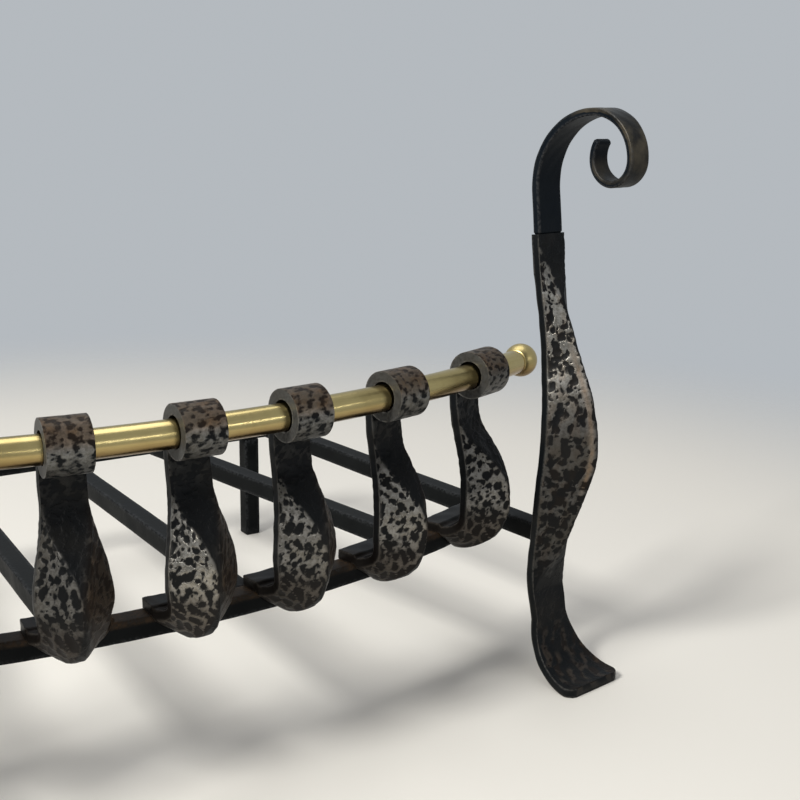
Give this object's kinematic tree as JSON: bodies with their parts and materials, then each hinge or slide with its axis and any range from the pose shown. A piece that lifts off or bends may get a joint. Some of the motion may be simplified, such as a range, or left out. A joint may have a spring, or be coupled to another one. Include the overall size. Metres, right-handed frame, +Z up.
{
  "type": "fire grate",
  "caption": "Hand-forged bow-fronted fire grate with scroll-topped dogs, folded leaf fingers and a loose brass rail with ball ends",
  "frame": {"origin": "on the hearth, under the middle of the whole grate", "axes": "+X to the grate's right seen from its front, +Y back towards the chimney, +Z up"},
  "size_m": [0.724, 0.5096, 0.4641],
  "materials": {
    "black_bar": "satin black over square bar",
    "hammered_iron": "hammered, wire-brushed high spots over dark scale",
    "smooth_iron": "smooth satin black with a bronze tint where it is rubbed",
    "satin_brass": "satin, drawn along the length"
  },
  "bodies": {
    "grate": {"front_bar": "black_bar", "rear_bar": "black_bar", "side_bar_left": "black_bar", "side_bar_right": "black_bar", "grate_bar_1": "black_bar", "grate_bar_2": "black_bar", "grate_bar_3": "black_bar", "grate_bar_4": "black_bar", "rear_leg_left": "black_bar", "rear_leg_right": "black_bar", "finger_1": "hammered_iron", "finger_2": "hammered_iron", "finger_3": "hammered_iron", "finger_4": "hammered_iron", "finger_5": "hammered_iron", "finger_6": "hammered_iron", "finger_7": "hammered_iron", "dog_left": "hammered_iron", "dog_right": "hammered_iron", "dog_scroll_left": "smooth_iron", "dog_scroll_right": "smooth_iron"},
    "rail": {"brass_rail": "satin_brass", "rail_ball_left": "satin_brass", "rail_ball_right": "satin_brass"}
  },
  "joints": [
    {"name": "rail_slide", "type": "hinge", "parent": "grate", "child": "rail", "pos_m": [0, 0.5742, 0.2551], "axis": [0, 0, 1], "range_deg": [-3, 3]}
  ]
}
